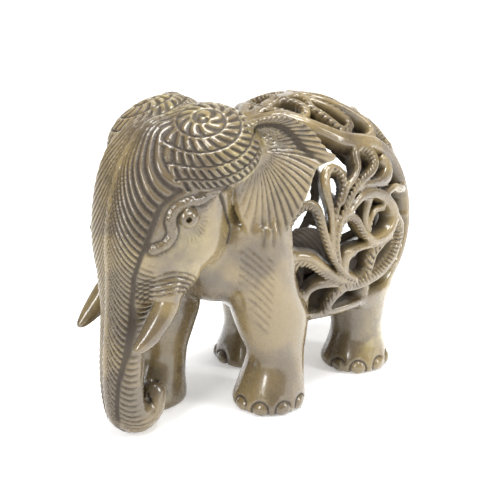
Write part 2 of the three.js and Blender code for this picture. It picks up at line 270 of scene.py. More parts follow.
def flank_place(x, y, z):
    """The u and v of a point, and how far outside the barrel's skin it is."""
    dx, dz = x - BARREL_X, z - BARREL_Z
    along = math.cos(BARREL_TIP) * dx + math.sin(BARREL_TIP) * dz
    up = math.cos(BARREL_TIP) * dz - math.sin(BARREL_TIP) * dx
    a, b, c = along / BARREL_LONG, up / BARREL_DEEP, np.abs(y) / BARREL_HALF
    s = np.sqrt(a * a + b * b) + 1e-6
    level = (s**BARREL_FULL + c**BARREL_FULL) ** (1 / BARREL_FULL)
    steep = s ** (BARREL_FULL - 2) * np.hypot(a / BARREL_LONG, b / BARREL_DEEP)
    steep = np.hypot(steep, c ** (BARREL_FULL - 1) / BARREL_HALF) * level ** (1 - BARREL_FULL)
    reach = np.degrees(np.arctan2(s, c))
    bearing = np.arctan2(b, a) + BARREL_TIP
    return reach * np.cos(bearing), reach * np.sin(bearing), (level - 1) / steep


check = flank_point(np.array([20.0]), np.array([30.0]))[0]
print("u, v and depth read back:", [round(float(v), 2) for v in flank_place(*check)])

# %% [markdown]
# ## The vines
#
# Each vine is a band through a few stations of u, v and width in millimetres, as the carver would
# draw it on the polished flank. A stem is left smooth, with a few long strokes. A leaf has a row
# of slanting nicks along one edge, which also leave that edge toothed. A beaded leaf has round
# bites. The number before the stations says how far the band lies below its neighbours, so that
# one seems to pass over another.

# %% The drawing on the flank
STEM, LEAF, BEAD = "stem", "leaf", "bead"
VINES = [
    (STEM, 0, 0.0, [[-42, 73, 3.2], [-34, 70, 3.6], [-28, 67, 3.8], [-23, 60.5, 4.2], [-14, 51.7, 4.2],
                    [-4.5, 45, 4.4], [3.7, 42.2, 4.8], [14, 40.6, 4.6], [22, 38.5, 4.2], [35, 30, 3.6],
                    [41.5, 19, 3.6], [45, 4, 3.6], [44, -6, 3.6], [40, -15, 3.6], [33, -24, 3.4],
                    [24, -32, 3.2]]),
    (BEAD, 1, 0.5, [[-25, 88, 2.8], [-18, 86, 3.2], [-13, 78, 3.2], [-12.5, 69, 3.2], [-15, 63, 3.2],
                    [-20, 62, 2.8], [-23, 66, 2.8], [-27, 72, 2.8], [-32, 79, 2.8], [-36, 86, 2.8]]),
    (BEAD, 1, 0.4, [[-5, 76, 2.6], [-8, 66.5, 2.8], [-5.3, 58, 2.8], [-1, 49.5, 2.8], [3, 48, 3.2],
                    [8.7, 52.5, 3.2], [5.7, 62.5, 3.2], [2.7, 68, 3], [0, 74, 2.8], [-2, 82, 2.8],
                    [-2, 90, 2.8]]),
    (LEAF, 1, 0.2, [[14, 42, 3.2], [21, 43.5, 3.6], [26, 47, 3.8], [27, 51, 3.8], [24.5, 56, 3.6],
                    [20, 61, 3.4], [15, 66.5, 3.2], [10, 72, 3.2], [6, 78, 3], [3, 90, 3]]),
    (LEAF, 1, 0.0, [[-43, 7, 2.6], [-37, 13, 3], [-33, 16, 3.4], [-29.5, 16.5, 3.6], [-26.5, 14.5, 3.6],
                    [-25, 10, 3.4], [-24, 5, 3.2], [-22.5, 0, 3], [-20.5, -6, 2.8], [-16.5, -12.5, 2.6],
                    [-11, -18.5, 2.6], [-4, -22.5, 2.4]]),
    (LEAF, 1, 0.1, [[-43, -7, 5], [-35, -8, 5], [-30, -9.5, 4.8], [-25, -13.5, 4.4], [-20, -17.5, 4],
                    [-14, -21, 3.4], [-7, -23, 2.8]]),
    (STEM, 0, 0.6, [[-8, -24, 2.4], [-14, -23.3, 2.6], [-20, -22.3, 3], [-26, -22.5, 3], [-30, -25, 3],
                    [-31.5, -29, 3], [-32, -34, 3.2]]),
    (STEM, 0, 0.5, [[-14, 32, 2.6], [-18, 30, 3.8], [-19.5, 26, 4], [-19.5, 20, 3.4], [-18.7, 14, 2.8],
                    [-18.6, 8, 2.6], [-18.8, 0, 2.6], [-18.5, -6, 2.6], [-15.5, -13, 2.4], [-9, -20, 2.2]]),
    (LEAF, 1, 0.7, [[-14, 32, 2.6], [-10.5, 30, 3], [-9, 26.5, 3], [-9.5, 22, 3], [-12, 18, 2.6],
                    [-14.5, 14, 2.4], [-16.5, 9, 2.2], [-17.5, 3, 2.2], [-17.5, -6, 2.2]]),
    (STEM, 0, 0.2, [[7, 38.5, 2.6], [3, 37.5, 3.4], [1.5, 34, 3.4], [1.5, 31, 3], [-0.5, 27.5, 2.8],
                    [-4, 24.5, 2.6], [-8, 21.5, 2.6], [-12, 16, 2.4]]),
    (LEAF, 1, 0.0, [[7, 38.5, 2.6], [12, 36, 3.2], [14, 31, 3.6], [10, 27, 3.6], [1, 23.5, 3.2],
                    [-5, 19, 3], [-9.5, 14, 2.6], [-13.4, 9.5, 2.4], [-15.6, 4, 2.2], [-16.8, -3, 2.2],
                    [-15.5, -11, 2.2]]),
    (STEM, 0, 0.3, [[-2, 20, 2.2], [5, 21.5, 2.6], [12, 21.3, 3], [19, 21.5, 4.4], [24, 24, 5.2],
                    [26, 28, 4.6], [23, 31, 3.4]]),
    (STEM, 0, 0.0, [[-13, 9, 2.2], [-7.5, 11.5, 2.8], [-3.5, 14.5, 3.2], [1, 16.7, 3.4], [8.5, 17, 3.4],
                    [16, 14.7, 3.4], [22, 10, 3.4], [25.5, 5, 3.6], [24.5, 0.5, 3.8], [20.5, -3.5, 3.6],
                    [14, -5.5, 3.2], [8, -5.3, 2.8], [3, -2, 2.4]]),
    (STEM, 0, 1.4, [[8, 15.5, 4.5], [5.5, 11, 4], [4, 6, 3.2], [4, 1, 2.6], [5, -3, 2.4]]),
    (LEAF, 1, 1.0, [[6, 0, 2.2], [7.5, 5, 2.4], [11.5, 8.7, 2.6], [17, 8.9, 2.8]]),
    (LEAF, 1, 0.3, [[-16.5, -8, 2.2], [-16.3, -4, 2.4], [-15.3, 1, 2.6], [-13.5, 5.5, 3], [-10.5, 8.3, 3.2],
                    [-7, 8.3, 3.4], [-3.5, 6, 3.2], [-1, 2, 3], [2.5, -2, 2.8], [7.5, -5.5, 2.6],
                    [13, -7.5, 2.8], [21, -6, 3.2]]),
    (STEM, 0, 1.0, [[13, -8, 2.2], [6, -8, 2.4], [-1, -8, 2.6], [-6, -9, 3.8], [-10, -11, 4.8],
                    [-10.5, -14, 4], [-9.5, -17, 2.4]]),
    (BEAD, 1, 0.8, [[20, -6, 2.8], [14.5, -9, 3.6], [9.5, -12, 4.4], [7.5, -16, 4.4], [6.5, -20, 3.4],
                    [4, -24, 2.8]]),
    (LEAF, -1, 0.0, [[-12, -24.5, 3.2], [-6, -25.2, 3.6], [1, -25.2, 3.8], [8, -24.2, 4], [14.5, -23, 4],
                     [20, -20.5, 4], [26, -16.5, 4], [29.5, -11, 4.4], [31, -4, 4.4], [26, 3, 3.6]]),
    (STEM, 0, 0.3, [[20, 15, 2.4], [28, 16.5, 2.8], [34, 15, 3.2], [40, 14, 3.2]]),
    (LEAF, 1, 0.3, [[-9, -25, 3.2], [-13, -27.5, 3.8], [-16, -30.5, 3.6], [-19, -38, 3.4]]),
    (STEM, 0, 0.6, [[6, -26, 2.8], [6, -31, 2.8], [4, -38, 3.2]]),
    (STEM, 0, 0.2, [[44, 0, 3.4], [50, 9, 3.4], [59, 11, 3.4], [66, 5, 3.4], [65, -5, 3.4], [58, -9, 3.2],
                    [53, -4, 3]]),
    (LEAF, -1, 0.2, [[32, 32, 3.2], [41, 37, 3.4], [50, 36, 3.4], [59, 29, 3.4], [70, 22, 3.4],
                     [84, 20, 3.2]]),
    (LEAF, 1, 0.4, [[25, 54, 3.2], [34, 53, 3.4], [42, 47, 3.4], [46, 40, 3.2], [49, 35, 3.2]]),
    (LEAF, 1, 0.2, [[22, 59, 3.2], [34, 65, 3.4], [47, 65, 3.4], [58, 60, 3.2]]),
    (LEAF, 1, 0.3, [[38, -17, 3.4], [48, -21, 3.4], [60, -18, 3.4], [70, -10, 3.4], [84, -8, 3.2]]),
    (STEM, 0, 0.3, [[30, -24, 3.4], [42, -31, 3.4], [56, -33, 3.4], [70, -30, 3.2]]),
]
print(len(VINES), "vines are drawn on each flank")

# %% [markdown]
# ## From drawing to shell
#
# The drawing is turned into three flat charts over u and v: how far a place is from the nearest
# vine's edge, how high the vine stands there, and how deep the fine strokes are cut. Distances are
# measured on the real skin, not in degrees, so that a band keeps its width where the barrel turns.
# Across a band, 0 is its middle and 1 its edge, and a leaf has its nicks on the side that its
# row in the list names, with a fine vein cut near the middle.

# %% Charts of the flank
CHART_STEP = 0.25
CHART_U = np.arange(-80, 92, CHART_STEP)
CHART_V = np.arange(-48, 92, CHART_STEP)
CHART_SKIN = flank_point(*np.meshgrid(CHART_U, CHART_V, indexing="ij"))
BAND_REACH = 9.0
NICK_PITCH, BEAD_PITCH, STROKES = 1.7, 2.1, 3
NICK_DEPTH, STROKE_DEPTH = 0.62, 0.22
NICK_SLANT, TOOTH_DEPTH = 1.1, 0.5
VEIN_DEPTH, VEIN_AT, VEIN_SPREAD = 0.3, 0.12, 0.012
STEM_STROKES_END, BAND_DOME, DOME_END = 0.9, 0.5, 1.3
LEAF_OVERLAP, BEAD_OVERLAP, EDGE_EASE = 0.2, 1.2, 3


def valleys(phase, sharp=0.7):
    """0 on the crest of each round flute and 1 at the bottom of the cut between two."""
    return 1 - np.abs(np.sin(np.pi * phase)) ** sharp


def vine_charts(kind, toothed, sunk, stations):
    """One vine's distance, height and stroke charts."""
    knots = smooth_curve(stations, STEPS * len(stations))
    spine = flank_point(knots[:, 0], knots[:, 1])
    ahead_of = np.linalg.norm(np.diff(spine, axis=0), axis=1)
    travelled = np.concatenate([[0], np.cumsum(ahead_of)])
    gap = np.full(CHART_SKIN.shape[:2], BAND_REACH)
    across, along = np.zeros_like(gap), np.zeros_like(gap)
    for i in range(len(knots) - 1):
        u0, u1 = sorted(knots[i : i + 2, 0])
        v0, v1 = sorted(knots[i : i + 2, 1])
        us = slice(*np.searchsorted(CHART_U, [u0 - BAND_REACH, u1 + BAND_REACH]))
        vs = slice(*np.searchsorted(CHART_V, [v0 - BAND_REACH, v1 + BAND_REACH]))
        here = CHART_SKIN[us, vs] - spine[i]
        step = spine[i + 1] - spine[i]
        t = np.clip((here @ step) / (step @ step), 0, 1)
        off = here - t[..., None] * step
        far = np.linalg.norm(off, axis=-1)
        half = (knots[i, 2] + t * (knots[i + 1, 2] - knots[i, 2])) / 2
        outward = CHART_SKIN[us, vs] - [BARREL_X, 0, BARREL_Z]
        hand = np.sign(np.einsum("ijk,ijk->ij", np.cross(outward, step), off))
        closer = far - half < gap[us, vs]
        gap[us, vs] = np.where(closer, far - half, gap[us, vs])
        across[us, vs] = np.where(closer, hand * far / half, across[us, vs])
        along[us, vs] = np.where(closer, travelled[i] + t * ahead_of[i], along[us, vs])
    side = across * (toothed or 1)
    height = -sunk - BAND_DOME * np.minimum(np.abs(across), DOME_END) ** 2
    if kind == STEM:
        on_band = np.abs(across) < STEM_STROKES_END
        strokes = STROKE_DEPTH * valleys(STROKES * across / 2) * on_band
    else:
        pitch = NICK_PITCH if kind == LEAF else BEAD_PITCH
        overlap = LEAF_OVERLAP if kind == LEAF else BEAD_OVERLAP
        on_edge = np.clip(side * EDGE_EASE + overlap, 0, 1)
        strokes = NICK_DEPTH * valleys((along + NICK_SLANT * np.abs(across)) / pitch) * on_edge
        strokes = strokes + VEIN_DEPTH * np.exp(-((side + VEIN_AT) ** 2) / VEIN_SPREAD)
        teeth = valleys((along + NICK_SLANT) / pitch, 1.2) * np.clip(side * EDGE_EASE, 0, 1)
        gap = gap + TOOTH_DEPTH * teeth
    return gap, height, strokes


def flank_charts():
    """All vines' charts in one, where the higher band hides the lower."""
    gaps = np.full(CHART_SKIN.shape[:2], BAND_REACH)
    nearest, heights, strokes = gaps.copy(), np.full_like(gaps, -9.0), np.zeros_like(gaps)
    for vine in VINES:
        gap, height, stroke = vine_charts(*vine)
        inside = (gap < 0) & ((height > heights) | (nearest >= 0))
        outside = (gap >= 0) & (gap < nearest)
        wins = inside | outside
        heights = np.where(wins, height, heights)
        strokes = np.where(wins, stroke, strokes)
        nearest = np.minimum(nearest, gap)
    return nearest, heights, strokes


def read_chart(chart, u, v):
    """A chart's value between its points."""
    i = np.clip((u - CHART_U[0]) / CHART_STEP, 0, len(CHART_U) - 1.001)
    j = np.clip((v - CHART_V[0]) / CHART_STEP, 0, len(CHART_V) - 1.001)
    i0, j0 = i.astype(int), j.astype(int)
    fi, fj = i - i0, j - j0
    low = chart[i0, j0] * (1 - fj) + chart[i0, j0 + 1] * fj
    high = chart[i0 + 1, j0] * (1 - fj) + chart[i0 + 1, j0 + 1] * fj
    return low * (1 - fi) + high * fi


vine_gap, vine_height, vine_strokes = flank_charts()
print("vines cover", round(100 * float((vine_gap < 0).mean())), "percent of the charts")

# %% [markdown]
# ## The barrel
#
# The chest is solid as far back as the fore legs. Behind it only the vines are left of the shell,
# with a thin spine along the back and rump that both flanks share, and a floor for the calf.


# %% Barrel, chest and floor
EDGE_ROUND, JOIN_ROUND, BELLY_ROUND = 0.7, 1.0, 1.5
SPINE_HALF, SPINE_SUNK, SPINE_MELT = 2.2, 0.3, 0.8
BARREL_REACH = 48
CHEST_CENTRE, CHEST_HALVES, CHEST_MELT = (-14, 0, 55), (17, 18, 20), 3.0


def barrel_form(x, y, z):
    u, v, depth = flank_place(x, y, z)
    shell = meet(depth, -(depth + WALL), EDGE_ROUND)
    pierced = meet(read_chart(vine_gap, u, v), depth - read_chart(vine_height, u, v), EDGE_ROUND)
    vines = meet(pierced, shell, 0)
    spine = meet(shell + SPINE_SUNK, np.abs(y) - SPINE_HALF, EDGE_ROUND)
    chest = meet(depth, x - CHEST_X, JOIN_ROUND)
    floor = meet(depth, z - FLOOR_Z, JOIN_ROUND)
    solid = melt(chest, floor, JOIN_ROUND)
    whole = melt(melt(vines, spine, SPINE_MELT), solid, JOIN_ROUND)
    return meet(whole, BELLY_Z - z, BELLY_ROUND)


barrel_low = (BARREL_X - BARREL_REACH, -30, BELLY_Z - 1)
barrel_high = (BARREL_X + BARREL_REACH, 30, 100)
block.add((barrel_low, barrel_high, barrel_form))
block.add(egg(CHEST_CENTRE, CHEST_HALVES), CHEST_MELT)
print("the barrel is pierced")

# %% [markdown]
# ## The calf
#
# The calf is cut through the gaps in the vines, so it is plain: a round body, a head, a short
# trunk and four stub legs standing on the floor of the barrel. Only its ribbed back is easily seen.


# %% Calf
CALF_BODY = [(27, 0, 40), (13, 7.5, 8)]
CALF_HEAD = [(13.5, 0, 43), (6.5, 5.5, 6.5)]
CALF_TRUNK = [[9, 0, 44, 3], [5.5, 0, 39, 2.4], [5, 0, 34, 2], [6.5, 0, 28.5, 2]]
CALF_EAR = [(14.5, 4.8, 43), (3, 1.2, 4.5)]
CALF_LEGS_X = (19, 35)
CALF_LEG = [[0, 4.2, FLOOR_Z - 1, 3], [0, 4.2, 40, 2.7]]
NECK_MELT, LIMB_MELT, EAR_MELT = 3.0, 1.5, 0.6


def carve_calf():
    block.add(egg(*CALF_BODY), 0)
    block.add(egg(*CALF_HEAD), NECK_MELT)
    block.add(rod(CALF_TRUNK), LIMB_MELT)
    for leg_x in CALF_LEGS_X:
        for side in (LEFT, RIGHT):
            leg = [[leg_x + x, *rest] for x, *rest in mirrored(CALF_LEG, side)]
            block.add(rod(leg, 2), LIMB_MELT)
            block.add(egg(mirrored(CALF_EAR, side)[0], CALF_EAR[1]), EAR_MELT)


carve_calf()
print("the calf stands inside")

# %% [markdown]
# ## Legs
#
# The left feet trail and the right feet have stepped forward, so the right legs lean back from
# their feet. A leg is a stack of ovals that swells at the knee, narrows at the ankle and flares at
# the sole. It melts into the barrel over a few millimetres. Each foot has four nails, and their
# places are bearings round the foot, from straight ahead at 180 degrees to straight out at 270.

# %% Legs
TRACK = 14.4
FORE_FOOT_X, HIND_FOOT_X = -4.0, 39.0
FORE_STRIDE, HIND_STRIDE = 25.5, 24.0
FORE_LEAN, HIND_LEAN, LEAN_CURVE = 16.0, 4.0, 1.8
ANKLE_Z, SHOULDER_Z = 8.0, 48.0
LEG_FULL, SOLE_ROUND, HIP_MELT = 2.2, 1.2, 3.0
FORE_LEG = [[0, 0.3, 10.9, 10.9], [0, 3, 11.4, 11.4], [1.2, 9, 10.2, 10.2], [2.8, 17, 9, 9],
            [1.8, 24, 10.6, 10.2], [0.4, 31, 12, 11], [-3, 40, 11.4, 10.8], [-5, 50, 10.4, 10.6],
            [-6, 64, 9.6, 9.4]]
HIND_LEG = [[0, 0.3, 10.9, 10.9], [0, 3, 11.3, 11.3], [0.3, 8.5, 9.6, 9.4], [0.6, 14, 8.6, 8.6],
            [0.4, 20, 9.4, 9.2], [0, 28, 11, 10], [0, 31, 10.6, 9.6]]
FORE_NAILS, HIND_NAILS = (171, 210, 249, 288), (190, 227, 270, 305)
FEET = [
    (FORE_FOOT_X, LEFT, FORE_NAILS),
    (FORE_FOOT_X - FORE_STRIDE, RIGHT, FORE_NAILS),
    (HIND_FOOT_X, LEFT, HIND_NAILS),
    (HIND_FOOT_X - HIND_STRIDE, RIGHT, HIND_NAILS),
]


def carve_leg(profile, foot_x, side, lean):
    """One leg from ovals given as [set back, height, half length, half width]."""
    ovals = []
    for back, height, half_long, half_wide in profile:
        rise = max(0, height - ANKLE_Z) / (SHOULDER_Z - ANKLE_Z)
        x = foot_x + back + lean * rise**LEAN_CURVE
        ovals.append([x, side * TRACK, height, half_long, half_wide])
    block.add(limb(ovals, LEG_FULL, SOLE_ROUND), HIP_MELT)


def carve_legs():
    for side in (LEFT, RIGHT):
        ahead = side == RIGHT
        fore_x = FORE_FOOT_X - FORE_STRIDE * ahead
        hind_x = HIND_FOOT_X - HIND_STRIDE * ahead
        carve_leg(FORE_LEG, fore_x, side, FORE_LEAN * ahead)
        carve_leg(HIND_LEG, hind_x, side, HIND_LEAN * ahead)


carve_legs()
print("four legs stand under it")

# %% [markdown]
# ## Head, trunk and tusks
#
# The head is another stack of ovals, with the trunk growing out of its front and curling back under
# itself to an open tip. Two round bosses sit on the crown, the cheeks swell, and a ribbed lip wraps
# each tusk. The eye is a ball let into the side, with a drilled pupil.
# The rows of the head's stack are height, front, back and half width.

# %% Head, trunk, tusks and bosses
HEAD = [[45, -55, -38, 8.5], [50, -55.4, -32, 11.5], [56, -55.8, -24, 15], [63, -56, -16, 17.2],
        [71, -55, -12, 18.2], [79, -53, -10, 18.4], [86, -50, -9, 17.4], [91, -46, -10, 15.2],
        [95, -42, -13, 11], [97.5, -37, -18, 6]]
TRUNK = [[-44, 0, 58, 10], [-46, 0, 52, 9], [-48.5, 0, 44, 8.1], [-50.4, 0, 36, 7.3],
         [-51.8, 0, 27, 6.8], [-52.3, 0, 17, 6.5], [-51.3, 0, 10, 6.2], [-47.5, 0, 6.6, 5.9],
         [-43.0, 0, 7.4, 5.3], [-40.6, 0, 11.6, 4.3]]
TUSK = [[-40, 11, 51, 3.2], [-45, 12.8, 45, 3.7], [-51, 13.4, 39, 3.1], [-55.5, 13.2, 35.8, 1.8],
        [-57.3, 13, 35, 0.7]]
BOSS_CENTRE, BOSS_AXIS = (-26.7, 10.7, 88.3), (-0.30, 0.30, 0.905)
BOSS_HALF, BOSS_RISE = 16.0, 11.0
EYE_CENTRE, EYE_RADIUS = (-39.8, 17.0, 71.9), 3.3
SOCKET_HALVES, PUPIL_RADIUS = (4.3, 2.6, 4.1), 0.85
NOSTRIL = [[-40.6, 0, 11.6, 1.0], [-39.2, 0, 16.5, 2.2]]
CHEEK_CENTRE, CHEEK_HALVES = (-33, 11.5, 61), (11, 6.5, 8)
LIP = [[-37, 11.5, 53, 4.6], [-43.5, 11.6, 49.8, 5.0]]
HEAD_FULL, CROWN_ROUND = 2.4, 4.0
HEAD_MELT, TRUNK_MELT, BOSS_MELT, CHEEK_MELT, LIP_MELT, TUSK_MELT = 3.0, 3.5, 1.2, 4.0, 2.5, 0.3


def carve_eye(side):
    """A socket, a ball in it, and a pupil drilled forward and outward."""
    x, y, z = EYE_CENTRE
    block.cut(egg((x, side * (y + 2), z), SOCKET_HALVES), 0.5)
    block.add(egg((x, side * y, z), (EYE_RADIUS,) * 3), 0.1)
    pupil = [[x - 1, side * (y + 1.4), z, PUPIL_RADIUS], [x - 3, side * (y + 5), z, PUPIL_RADIUS]]
    block.cut(rod(pupil, 2), 0.1)


def carve_head():
    ovals = []
    for z, front, back, half in HEAD:
        ovals.append([(front + back) / 2, 0, z, (back - front) / 2, half])
    block.add(limb(ovals, HEAD_FULL, CROWN_ROUND), HEAD_MELT)
    block.add(rod(TRUNK, 30), TRUNK_MELT)
    for side in (LEFT, RIGHT):
        centre, axis = mirrored([BOSS_CENTRE, BOSS_AXIS], side)
        block.add(cushion(centre, axis, BOSS_HALF, BOSS_RISE), BOSS_MELT)
        block.add(egg(mirrored([CHEEK_CENTRE], side)[0], CHEEK_HALVES), CHEEK_MELT)
        block.add(rod(mirrored(LIP, side), 2), LIP_MELT)
        block.add(rod(mirrored(TUSK, side)), TUSK_MELT)
        carve_eye(side)
    block.cut(rod(NOSTRIL, 2), 0.5)


carve_head()
print("the head, trunk and tusks are on")

# %% [markdown]
# ## Ears and tail
#
# An ear is a thin plate that flares a little from the neck. Its outline is drawn as reaches from
# the root, like the ribs of a fan. The upper edge is rolled outward into a thick rim and the middle
# is hollowed, so the plate's thickness and level both follow the same fan.

# %% Ears and tail
EAR_ROOT = (-17, 21, 87)
EAR_FLARE, EAR_THICK = 0.35, 2.6
EAR_EDGE = [[118, 8], [90, 9.5], [62, 11.5], [38, 14.5], [14, 18], [-3, 21.5], [-11, 26], [-22, 21],
            [-48, 23.5], [-70, 27.5], [-86, 30], [-97, 22], [-118, 11]]
EAR_REACHES = smooth_curve(EAR_EDGE[::-1], 120)
EAR_RIM_END, RIM_EASE = -14, 12
HOLLOW_DEPTH, HOLLOW_AT, HOLLOW_SPREAD = 1.6, 0.55, 0.3
RIM_LIFT, RIM_START, RIM_WIDTH = 1.5, 0.72, 0.15
EAR_EDGE_ROUND, EAR_JOIN = 0.9, 0.8
TAIL = [[62, 0, 76, 2.2], [68, 0, 64, 2.4], [69.5, 0, 50, 2.2], [66, 0, 36, 2.6], [62, 0, 30, 1]]


def ear_place(x, z):
    """The bearing on the ear's fan, the reach from its root, and the share of the way out."""
    dx, dz = x - EAR_ROOT[0], z - EAR_ROOT[2]
    bearing = np.degrees(np.arctan2(dz, dx))
    bearing = np.where(bearing > 150, bearing - 360, bearing)
    reach = np.hypot(dx, dz)
    return bearing, reach, reach / np.interp(bearing, EAR_REACHES[:, 0], EAR_REACHES[:, 1])


def ear_form(side):
    def distance(x, y, z):
        bearing, reach, share = ear_place(x, z)
        upper = np.clip((bearing - EAR_RIM_END) / RIM_EASE, 0, 1)
        hollow = HOLLOW_DEPTH * np.exp(-(((share - HOLLOW_AT) / HOLLOW_SPREAD) ** 2))
        hollow = hollow * (0.4 + 0.6 * upper)
        rim = RIM_LIFT * np.clip((share - RIM_START) / RIM_WIDTH, 0, 1) * upper
        outer = EAR_ROOT[1] + EAR_FLARE * (x - EAR_ROOT[0]) - hollow + rim
        off = side * y - outer
        edge = (share - 1) * np.maximum(reach, 4)
        return meet(meet(off, -off - EAR_THICK, EAR_JOIN), edge, EAR_EDGE_ROUND)

    low = (-30, min(side * 12, side * 33), 54)
    high = (12, max(side * 12, side * 33), 98)
    return low, high, distance


def carve_ears_and_tail():
    for side in (LEFT, RIGHT):
        block.add(ear_form(side), EAR_JOIN)
    block.add(rod(TAIL, 20), EAR_JOIN)


carve_ears_and_tail()
print("ears and tail are on")

# %% [markdown]
# ## Skinning the block
#
# The grid is skinned where its distance is zero. That gives a fine, even mesh of squares, which is
# then carved. Cutting the skin first and carving afterwards lets strokes be finer than the grid.


# %% Skin
def skin_of(block):
    """The skin's points in millimetres, and its triangles."""
    block.field[:, :, :2] = np.maximum(block.field[:, :, :2], 0.4)
    grid = openvdb.FloatGrid()
    grid.background = FAR
    grid.copyFromArray(block.field)
    points, triangles, quads = grid.convertToPolygons(isovalue=0.0, adaptivity=0.0)
    points = points * block.grain + block.low
    quads = np.array(quads, np.int64)
    faces = np.vstack([quads[:, [0, 1, 2]], quads[:, [0, 2, 3]]])
    if len(triangles):
        faces = np.vstack([faces, np.array(triangles, np.int64)])
    return points.astype(float), faces


points, faces = skin_of(block)
print("the skin has", len(points) // 1000, "thousand points")

# %% [markdown]
# ## Strokes of the chisel
#
# Every stroke is a row of valleys: a phase counts the strokes across a surface, and the stone is
# pushed in where the phase is near a whole number. Only the phase differs from place to place. On
# the trunk it makes a feather, on the bosses it winds along a spiral, on the ears it fans out from
# the root. A mask keeps each row inside its border, with a soft edge, and the bare numbers in a
# mask are the places in millimetres or degrees where that edge starts and stops. The strokes could
# be a bump in the finish instead, but then they would vanish in profile and from a printed copy.


# %% Masks and rows
def fade(value, start, stop):
    """0 at start and 1 at stop, eased, whichever of them is larger."""
    t = np.clip((value - start) / (stop - start), 0, 1)
    return t * t * (3 - 2 * t)


def band(value, start, full, still_full, stop):
    """1 between two values, eased to 0 beyond them."""
    return fade(value, start, full) * fade(value, stop, still_full)


def line_cut(distance, half_width):
    """A rounded cut of depth 1 along distance 0."""
    return np.exp(-((distance / half_width) ** 2))


def near_path(points, stations):
    """Distance from a drawn line to flat points, and how far along the line the nearest place is."""
    knots = smooth_curve(stations, STEPS * len(stations))
    best = np.full(len(points), 1e3)
    along = np.zeros(len(points))
    travelled = 0.0
    for a, b in zip(knots[:-1], knots[1:]):
        step = b - a
        length = np.linalg.norm(step)
        t = np.clip((points - a) @ step / length**2, 0, 1)
        far = np.linalg.norm(points - a - t[:, None] * step, axis=1)
        along = np.where(far < best, travelled + t * length, along)
        best = np.minimum(best, far)
        travelled += length
    return best, along


# %% [markdown]
# ### The feather on the face
#
# The strokes leave the middle line of the face and sweep down and outward to a border line, like the
# barbs of a feather. On the trunk they are short and close, and towards the crown they steepen and
# widen into long flutes, so the slope and the pitch both grow with height. The border is drawn as
# heights and how far it then lies from the middle line. A second row lies just outside it.

# %% Feather
BORDER = [[8, 3.0], [22, 4.6], [30, 6.0], [46, 7.3], [55, 9.1], [65, 12.4], [76, 14.6], [87, 20.7]]
FEATHER_PITCH, FLUTE_PITCH = 2.1, 4.8
FLUTES_FROM, FLUTES_OVER = 58, 52
BARB_SLANT, BARB_STEEPENS, BROW_FOOT_Z, BARB_CURVE = 3.6, 0.11, 50, 0.65
TRUNK_DEPTH, CROWN_DEPTH, OUTER_DEPTH, BORDER_DEPTH = 0.66, 1.0, 0.5, 0.75


def feather(x, y, z, normal):
    """How deep the feather is cut at points of the face."""
    away = np.abs(y)
    heights, borders = np.array(BORDER).T
    border = np.interp(z, heights, borders)
    slant = BARB_SLANT + BARB_STEEPENS * np.maximum(z - BROW_FOOT_Z, 0)
    level = z + slant * away**BARB_CURVE
    widen = np.maximum(level - FLUTES_FROM, 0) / FLUTES_OVER
    grow = (FLUTE_PITCH - FEATHER_PITCH) / FEATHER_PITCH
    crown_level = FLUTES_FROM + FLUTES_OVER * np.log1p(grow * widen) / grow
    turns = np.where(level < FLUTES_FROM, level, crown_level) / FEATHER_PITCH
    front = fade(normal[:, 0], 0.35, -0.1) * fade(x, -33, -38)
    inside = fade(away, border - 0.2, border - 1.0) * fade(away, 0.2, 1.2)
    depth = TRUNK_DEPTH + (CROWN_DEPTH - TRUNK_DEPTH) * fade(z, 55, 80)
    outside = band(away - border, 0.4, 1.0, 3.0, 4.2) * fade(z, 62, 56)
    strokes = valleys(turns, 0.8) * (depth * inside + OUTER_DEPTH * outside)
    border_cut = BORDER_DEPTH * line_cut(away - border, 0.55) * fade(z, 6, 10)
    return front * (strokes + border_cut)


# %% [markdown]
# ### The bosses
#
# Each boss is wound with a flat spiral. A groove follows the spiral, and petals fill the track
# between its turns, slanting with the winding. The phase of the petals is the length of the spiral,
# so every petal is as wide as the next, however far out it lies.

# %% Spiral of petals
SPIRAL_PITCH, PETAL_PITCH, PETAL_SLANT = 5.0, 3.0, 1.1
PETAL_DEPTH, GROOVE_DEPTH, GROOVE_AT, GROOVE_HALF = 0.95, 0.65, 0.02, 0.05
ARC_SHARE, ON_BOSS = 0.95, 0.12


def boss_strokes(x, y, z):
    """How deep the bosses are cut at points, and which points are on a boss."""
    depth = np.zeros(len(x))
    on_boss = np.zeros(len(x), bool)
    for side in (LEFT, RIGHT):
        centre, axis = (np.array(v) for v in mirrored([BOSS_CENTRE, BOSS_AXIS], side))
        away = np.stack([x, y, z], 1) - centre
        along = away @ axis
        flat = away - along[:, None] * axis
        aft = np.array([1.0, 0, 0]) - axis[0] * axis
        aft /= np.linalg.norm(aft)
        other = np.cross(axis, aft) * side
        turn = np.arctan2(flat @ other, flat @ aft) % (2 * np.pi)
        spread = np.linalg.norm(flat, axis=1)
        arc = BOSS_HALF * np.arctan2(spread / BOSS_HALF, along / BOSS_RISE) * ARC_SHARE
        level = np.sqrt((spread / BOSS_HALF) ** 2 + (along / BOSS_RISE) ** 2)
        winding = arc / SPIRAL_PITCH - turn / (2 * np.pi)
        share = winding - np.floor(winding)
        swept = turn + 2 * np.pi * np.floor(winding)
        length = SPIRAL_PITCH * np.maximum(swept + np.pi, 0) ** 2 / (4 * np.pi)
        petals = PETAL_DEPTH * valleys(length / PETAL_PITCH + PETAL_SLANT * share, 0.8)
        petals = petals * band(share, 0.1, 0.3, 0.86, 1.0)
        from_turn = np.minimum(share, 1 - share)
        groove = GROOVE_DEPTH * line_cut(from_turn - GROOVE_AT, GROOVE_HALF)
        here = (np.abs(level - 1) < ON_BOSS) & (along > -2)
        depth = np.where(here, petals + groove, depth)
        on_boss |= here
    return depth, on_boss


